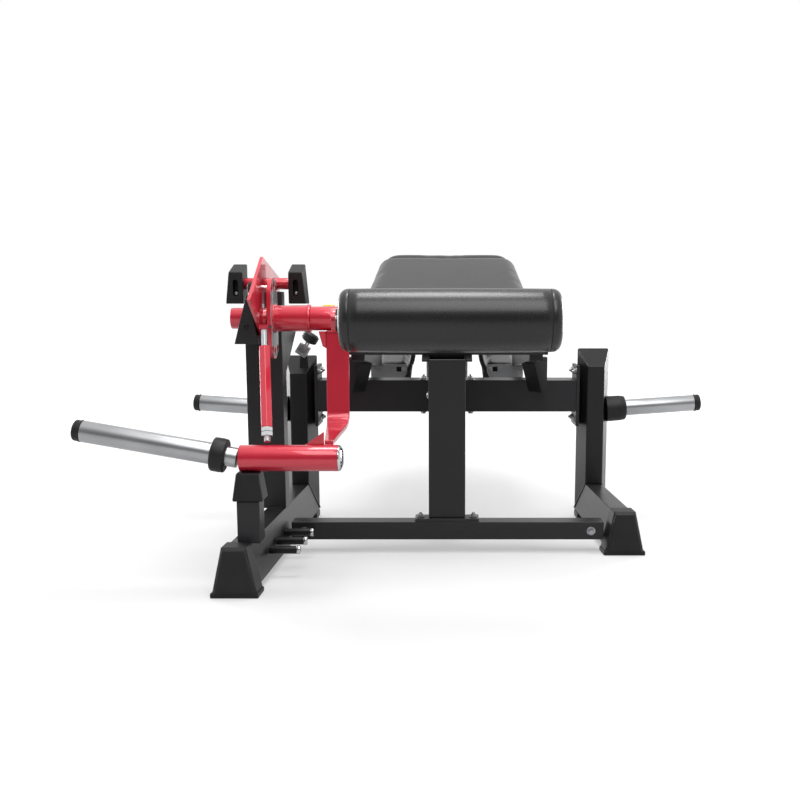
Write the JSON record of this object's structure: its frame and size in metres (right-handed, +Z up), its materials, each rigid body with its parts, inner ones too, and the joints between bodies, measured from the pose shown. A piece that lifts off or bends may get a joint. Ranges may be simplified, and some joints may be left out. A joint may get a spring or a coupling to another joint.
{
  "type": "prone hamstring machine",
  "caption": "Plate-loaded prone leg curl: angled bench on a tube frame, a swinging weight arm with a loading horn, and an ankle roller on its own arm.",
  "frame": {"origin": "middle of the machine's box in X and Y, on the floor", "axes": "+Z up, -Y towards the foot end, +Y towards the head end, X across"},
  "size_m": [1.6848, 1.6486, 0.833],
  "materials": {
    "frame_paint": "satin black powder coat",
    "red_paint": "gloss metallic red",
    "chrome": "polished",
    "steel": "satin",
    "rubber": "matt moulded",
    "vinyl": "semi-gloss black vinyl over foam",
    "board": "black covered plywood"
  },
  "bodies": {
    "frame": {"right_leg": "frame_paint", "left_leg": "frame_paint", "right_upright": "frame_paint", "left_upright": "frame_paint", "upper_beam": "frame_paint", "beam_plate_left": "frame_paint", "beam_plate_right": "frame_paint", "base_cross_tube": "frame_paint", "post_flange": "frame_paint", "centre_post": "frame_paint", "spine_rail": "frame_paint", "pad_bracket_left": "frame_paint", "pad_bracket_right": "frame_paint", "head_strut": "frame_paint", "handle_clamp": "frame_paint", "left_column": "frame_paint", "bearing_block": "frame_paint", "bumper_post": "frame_paint", "band_peg_1": "frame_paint", "band_peg_2": "frame_paint", "band_peg_3": "frame_paint", "axle_housing": "red_paint", "head_plate": "red_paint", "stop_tube": "red_paint", "handle_bar": "steel", "storage_horn_left": "steel", "storage_horn_right": "steel", "bearing_outer": "steel", "bearing_inner": "steel", "flange_bolt_left": "steel", "flange_bolt_right": "steel", "block_bolt": "steel", "right_front_foot": "rubber", "left_front_foot": "rubber", "right_rear_foot": "rubber", "left_rear_foot": "rubber", "stop_block_left": "rubber", "stop_block_right": "rubber", "bumper_cap": "rubber", "thigh_pad": "vinyl", "torso_pad": "vinyl", "elbow_pad_left": "vinyl", "elbow_pad_right": "vinyl", "thigh_board": "board", "torso_board": "board"},
    "weight_arm": {"knee_axle": "steel", "hole_plate": "red_paint", "weight_hub": "red_paint", "arm_tube": "red_paint", "arm_plate": "red_paint", "lower_tube": "red_paint", "lower_tube_cap": "chrome", "weight_horn": "steel", "horn_collar": "rubber", "horn_cap": "rubber", "turnbuckle": "red_paint"},
    "roller_arm": {"roller_arm": "red_paint", "roller_spindle": "steel"},
    "roller": {"ankle_roller": "vinyl"},
    "lock_pin": {"lock_pin": "rubber"}
  },
  "joints": [
    {"name": "weight_swing", "type": "hinge", "parent": "frame", "child": "weight_arm", "pos_m": [0.0465, -0.36829, 0.642], "axis": [-1, 0, 0], "range_deg": [0, 110]},
    {"name": "roller_adjust", "type": "hinge", "parent": "weight_arm", "child": "roller_arm", "pos_m": [0.0465, -0.36829, 0.642], "axis": [-1, 0, 0], "range_deg": [0, 30]},
    {"name": "roller_spin", "type": "hinge", "parent": "roller_arm", "child": "roller", "pos_m": [0.0465, -0.75429, 0.645], "axis": [1, 0, 0], "continuous": true},
    {"name": "lock_pin_pull", "type": "slide", "parent": "frame", "child": "lock_pin", "axis": [-1, 0, 0], "range_m": [0, 0.02], "stiffness_N_per_m": 500}
  ]
}
